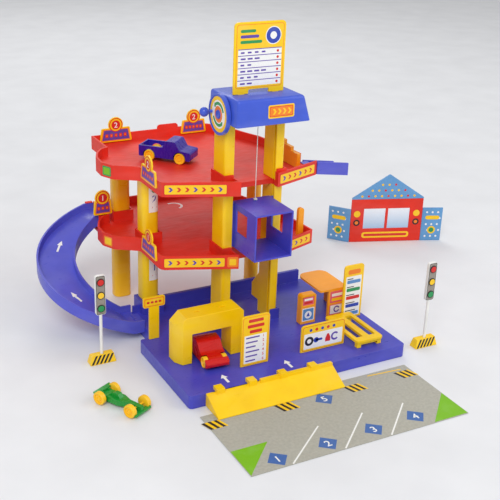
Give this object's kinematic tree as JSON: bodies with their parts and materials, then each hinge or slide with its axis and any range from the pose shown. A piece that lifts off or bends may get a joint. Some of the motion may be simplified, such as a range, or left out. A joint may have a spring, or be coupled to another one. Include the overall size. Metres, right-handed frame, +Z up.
{
  "type": "toy parking garage",
  "caption": "Toy parking garage with two decks, a crank lift, a curved ramp, toy cars, signs, traffic lights, a folding stand and a printed mat.",
  "frame": {"origin": "centre of the base plate underside, on the table", "axes": "+X to the garage right, +Y to its back, +Z up"},
  "size_m": [0.8245, 0.6189, 0.488],
  "materials": {
    "blue_plastic": "satin",
    "ramp_plastic": "satin",
    "hood_plastic": "satin",
    "cabin_plastic": "satin",
    "red_plastic": "satin",
    "yellow_plastic": "satin",
    "orange_plastic": "satin",
    "white_plastic": "satin",
    "car_red_plastic": "gloss",
    "car_blue_plastic": "gloss",
    "car_green_plastic": "gloss",
    "stand_plastic": "satin",
    "mat_sheet": "matte",
    "cord": "matte"
  },
  "bodies": {
    "garage": {"base_plate": "blue_plastic", "curved_ramp": "ramp_plastic", "deck_1": "red_plastic", "deck_1_booth": "orange_plastic", "deck_2": "red_plastic", "deck_2_booth": "orange_plastic", "entry_ramp": "yellow_plastic", "exit_ramp": "ramp_plastic", "fuel_pump": "orange_plastic", "gatehouse": "yellow_plastic", "hood": "hood_plastic", "level_sign_1": "yellow_plastic", "level_sign_2": "yellow_plastic", "level_sign_3": "yellow_plastic", "level_sign_4": "yellow_plastic", "level_sign_5": "yellow_plastic", "lift_column_left_lower": "yellow_plastic", "lift_column_left_middle": "yellow_plastic", "lift_column_left_upper": "yellow_plastic", "lift_column_right_lower": "yellow_plastic", "lift_column_right_middle": "yellow_plastic", "lift_column_right_upper": "yellow_plastic", "lift_string": "cord", "parking_mat": "mat_sheet", "price_board": "yellow_plastic", "ramp_connector": "red_plastic", "service_board": "yellow_plastic", "service_rack": "yellow_plastic", "service_wall": "orange_plastic", "stand_front": "red_plastic", "stand_gable": "stand_plastic", "support_back_left_lower": "orange_plastic", "support_back_left_upper": "orange_plastic", "support_back_right_lower": "orange_plastic", "support_back_right_upper": "orange_plastic", "support_front_left_lower": "yellow_plastic", "support_front_left_upper": "yellow_plastic", "toll_sign": "yellow_plastic", "top_sign": "yellow_plastic", "totem": "yellow_plastic", "traffic_light_left_base": "yellow_plastic", "traffic_light_left_post": "white_plastic", "traffic_light_right_base": "yellow_plastic", "traffic_light_right_post": "white_plastic"},
    "crank": {"crank_wheel": "hood_plastic", "crank_knob": "hood_plastic", "winch_drum": "white_plastic"},
    "cabin": {"lift_cabin": "cabin_plastic"},
    "red_car": {"red_car_body": "car_red_plastic"},
    "red_car_front_axle": {"red_car_front_wheels": "yellow_plastic"},
    "red_car_rear_axle": {"red_car_rear_wheels": "yellow_plastic"},
    "blue_car": {"blue_car_body": "car_blue_plastic"},
    "blue_car_front_axle": {"blue_car_front_wheels": "yellow_plastic"},
    "blue_car_rear_axle": {"blue_car_rear_wheels": "yellow_plastic"},
    "green_car": {"green_car_body": "car_green_plastic"},
    "green_car_front_axle": {"green_car_front_wheels": "yellow_plastic"},
    "green_car_rear_axle": {"green_car_rear_wheels": "yellow_plastic"},
    "left_wing": {"stand_left_wing": "stand_plastic"},
    "right_wing": {"stand_right_wing": "stand_plastic"}
  },
  "joints": [
    {"name": "lift_slide", "type": "slide", "parent": "garage", "child": "cabin", "axis": [0, 0, 1], "range_m": [-0.131, 0.0945], "deforming": ["lift_string"]},
    {"name": "crank_turn", "type": "hinge", "parent": "garage", "child": "crank", "pos_m": [-0.058, 0.029, 0.36], "axis": [1, 0, 0], "range_deg": [-610, 845]},
    {"name": "red_car_roll", "type": "slide", "parent": "garage", "child": "red_car", "axis": [-0.0698, -0.9976, 0], "range_m": [-0.01, 0.025]},
    {"name": "red_car_front_spin", "type": "hinge", "parent": "red_car", "child": "red_car_front_axle", "pos_m": [-0.11224, -0.07294, 0.0288], "axis": [-0.9976, 0.0698, 0], "continuous": true},
    {"name": "red_car_rear_spin", "type": "hinge", "parent": "red_car", "child": "red_car_rear_axle", "pos_m": [-0.10876, -0.02306, 0.0288], "axis": [-0.9976, 0.0698, 0], "continuous": true},
    {"name": "blue_car_roll", "type": "slide", "parent": "garage", "child": "blue_car", "axis": [0.6871, -0.7266, 0], "range_m": [-0.012, 0.03]},
    {"name": "blue_car_front_spin", "type": "hinge", "parent": "blue_car", "child": "blue_car_front_axle", "pos_m": [-0.05748, 0.15647, 0.2613], "axis": [-0.7266, -0.6871, 0], "continuous": true},
    {"name": "blue_car_rear_spin", "type": "hinge", "parent": "blue_car", "child": "blue_car_rear_axle", "pos_m": [-0.09252, 0.19353, 0.2613], "axis": [-0.7266, -0.6871, 0], "continuous": true},
    {"name": "green_car_roll", "type": "slide", "parent": "garage", "child": "green_car", "axis": [0.4679, -0.8838, 0], "range_m": [-0.03, 0.06]},
    {"name": "green_car_front_spin", "type": "hinge", "parent": "green_car", "child": "green_car_front_axle", "pos_m": [-0.24894, -0.106, 0.0077], "axis": [-0.8838, -0.4679, 0], "continuous": true},
    {"name": "green_car_rear_spin", "type": "hinge", "parent": "green_car", "child": "green_car_rear_axle", "pos_m": [-0.26906, -0.068, 0.0077], "axis": [-0.8838, -0.4679, 0], "continuous": true},
    {"name": "left_wing_fold", "type": "hinge", "parent": "garage", "child": "left_wing", "pos_m": [0.35895, 0.283, 0], "axis": [0, 0, 1], "range_deg": [-65, 33]},
    {"name": "right_wing_fold", "type": "hinge", "parent": "garage", "child": "right_wing", "pos_m": [0.49706, 0.23382, 0], "axis": [0, 0, 1], "range_deg": [-7, 93]}
  ],
  "couplings": [
    {"joint": "crank_turn", "follows": "lift_slide", "rad_per_m": -112.36}
  ]
}
